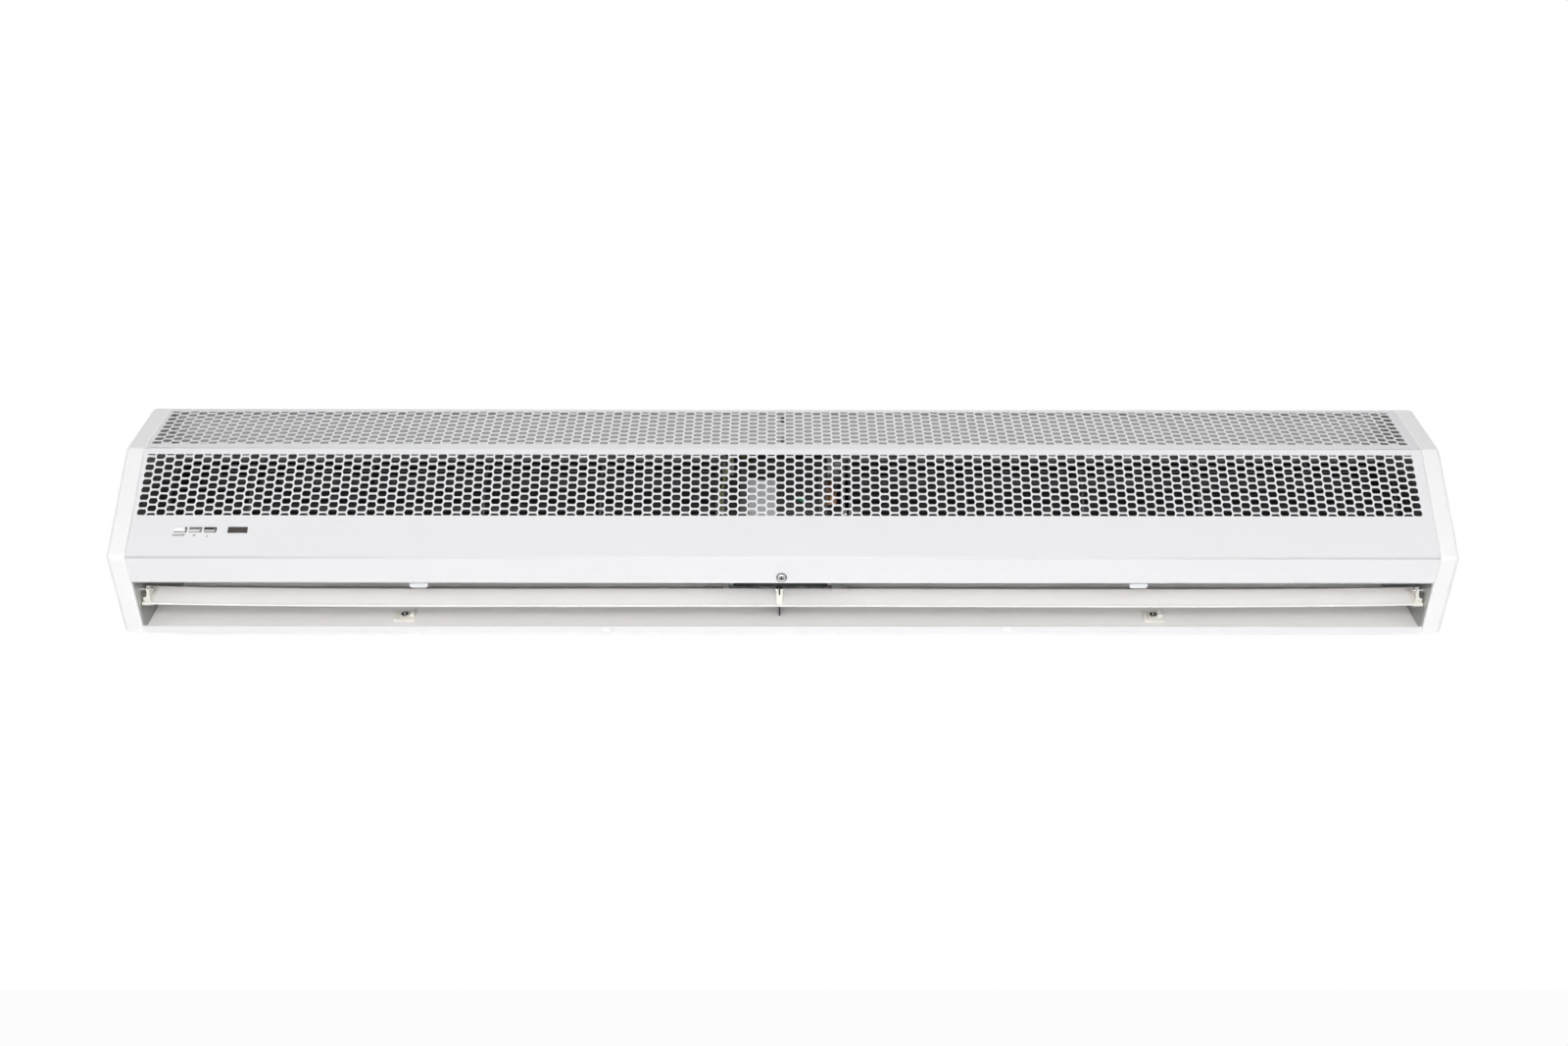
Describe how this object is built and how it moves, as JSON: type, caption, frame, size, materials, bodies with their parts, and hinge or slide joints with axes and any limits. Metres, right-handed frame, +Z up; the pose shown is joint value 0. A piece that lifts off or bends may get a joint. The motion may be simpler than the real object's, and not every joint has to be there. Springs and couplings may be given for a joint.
{
  "type": "air curtain",
  "caption": "Wall-hung air curtain with punched intake faces, end caps, centre motor, cross-flow impellers, press keys and a long tilting outlet vane.",
  "frame": {"origin": "centre of the wall plate's bolt pattern, on the face that meets the wall", "axes": "+X along the unit, to the right as seen from the front; +Y into the wall; +Z up"},
  "size_m": [1.2, 0.185, 0.2132],
  "materials": {
    "cover_paint": "satin white powder coat",
    "casing_paint": "satin white powder coat",
    "cap_plastic": "fine moulded texture",
    "duct_steel": "pale satin coating",
    "plate_steel": "galvanised",
    "shaft_steel": "ground",
    "screw_chrome": "bright plated",
    "stator_iron": "black lacquered laminations",
    "copper": "enamelled copper wire",
    "blade_alloy": "dull",
    "bronze": "sintered",
    "black_rubber": "matte",
    "black_plastic": "fine texture",
    "ivory_plastic": "moulded",
    "vane_plastic": "extruded satin",
    "paper": "bare label stock",
    "board_green": "circuit board",
    "wire_grey": "cable sheath",
    "wire_green": "cable sheath",
    "window_brown": "dark translucent",
    "key_white": "satin",
    "key_grey": "satin",
    "key_dark": "satin"
  },
  "bodies": {
    "casing": {"wall_plate": "plate_steel", "rear_casing": "casing_paint", "lip_insert": "casing_paint", "front_cover": "cover_paint", "cover_screw": "screw_chrome", "cover_nut": "plate_steel", "cover_lugs": "cover_paint", "left_end_cap": "cap_plastic", "right_end_cap": "cap_plastic", "cap_screws": "screw_chrome", "end_plate_left": "plate_steel", "end_plate_right": "plate_steel", "bay_plate_left": "plate_steel", "bay_plate_right": "plate_steel", "intake_baffle": "duct_steel", "scroll_left": "duct_steel", "scroll_right": "duct_steel", "duct_floor": "duct_steel", "duct_clips": "ivory_plastic", "duct_screws": "screw_chrome", "tongue_left": "duct_steel", "tongue_right": "duct_steel", "motor_stator": "stator_iron", "motor_windings": "copper", "motor_shields": "plate_steel", "motor_label": "paper", "motor_rings": "black_rubber", "motor_cradle": "plate_steel", "motor_lead": "wire_green", "bearing_left": "bronze", "bearing_right": "bronze", "bearing_cup_left": "black_rubber", "bearing_cup_right": "black_rubber", "capacitor": "ivory_plastic", "capacitor_strap": "plate_steel", "terminal_block": "ivory_plastic", "control_box": "black_plastic", "control_board": "board_green", "switch_housing": "black_plastic", "receiver_window": "window_brown", "wire_loom": "wire_grey", "cable_grommet": "black_rubber", "vane_post": "black_plastic"},
    "fan_rotor": {"motor_shaft": "shaft_steel", "motor_rotor": "stator_iron", "hub_left": "black_plastic", "hub_right": "black_plastic", "hub_screws": "shaft_steel", "impeller_left": "blade_alloy", "impeller_right": "blade_alloy", "stub_shaft_left": "shaft_steel", "stub_shaft_right": "shaft_steel"},
    "vane": {"vane_blade": "vane_plastic", "vane_end_left": "ivory_plastic", "vane_end_right": "ivory_plastic", "vane_clip": "ivory_plastic", "vane_pins": "shaft_steel"},
    "power_key": {"key_power": "key_white"},
    "high_key": {"key_high": "key_grey"},
    "low_key": {"key_low": "key_dark"}
  },
  "joints": [
    {"name": "fan_spin", "type": "hinge", "parent": "casing", "child": "fan_rotor", "pos_m": [0, -0.086, -0.003], "axis": [1, 0, 0], "continuous": true},
    {"name": "vane_tilt", "type": "hinge", "parent": "casing", "child": "vane", "pos_m": [0, -0.144, -0.077], "axis": [1, 0, 0], "range_deg": [-25, 25]},
    {"name": "power_press", "type": "slide", "parent": "casing", "child": "power_key", "axis": [0, 0.9434, -0.3317], "range_m": [0, 0.002], "stiffness_N_per_m": 400, "springref_m": -0.001},
    {"name": "high_press", "type": "slide", "parent": "casing", "child": "high_key", "axis": [0, 0.9434, -0.3317], "range_m": [0, 0.002], "stiffness_N_per_m": 400, "springref_m": -0.001},
    {"name": "low_press", "type": "slide", "parent": "casing", "child": "low_key", "axis": [0, 0.9434, -0.3317], "range_m": [0, 0.002], "stiffness_N_per_m": 400, "springref_m": -0.001}
  ]
}
